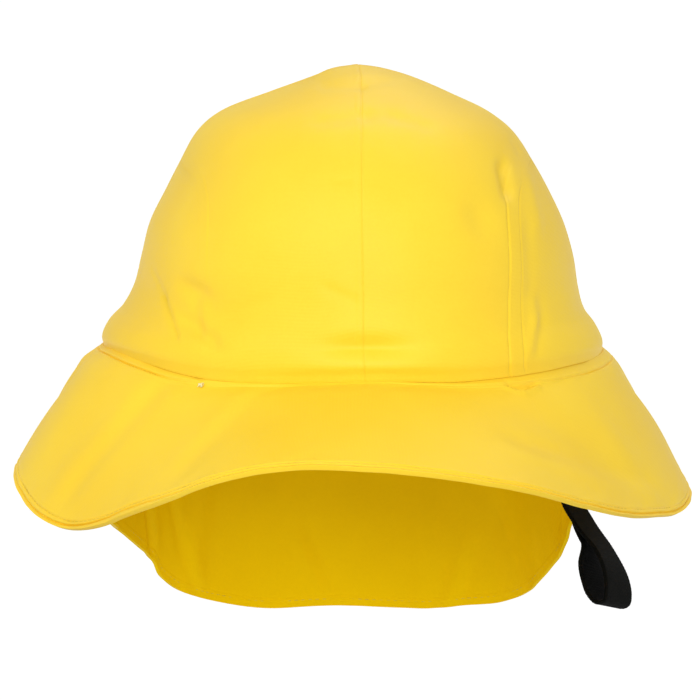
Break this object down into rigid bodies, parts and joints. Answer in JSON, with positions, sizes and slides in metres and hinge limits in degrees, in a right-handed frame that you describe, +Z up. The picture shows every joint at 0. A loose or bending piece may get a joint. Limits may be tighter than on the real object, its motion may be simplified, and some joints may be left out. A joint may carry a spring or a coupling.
{
  "type": "fishing rain hat",
  "caption": "Yellow rain hat for fishing: panelled crown, sloping brim with a rolled edge, long neck flap and a black chin strap hanging in a fold.",
  "frame": {"origin": "centre of the head opening, on the seam where the crown meets the brim", "axes": "+Z up out of the crown, the front of the hat faces -Y, +X to the viewer's right"},
  "size_m": [0.2497, 0.2975, 0.2278],
  "materials": {
    "coated_cloth": "matte waterproof coating over a fine weave",
    "black_webbing": "matte woven webbing"
  },
  "bodies": {
    "root": {"crown_centre_left": "coated_cloth", "crown_centre_right": "coated_cloth", "crown_side_left": "coated_cloth", "crown_side_right": "coated_cloth", "brim": "coated_cloth", "neck_flap": "coated_cloth", "chin_strap": "black_webbing", "strap_catch": "black_webbing"}
  },
  "joints": []
}
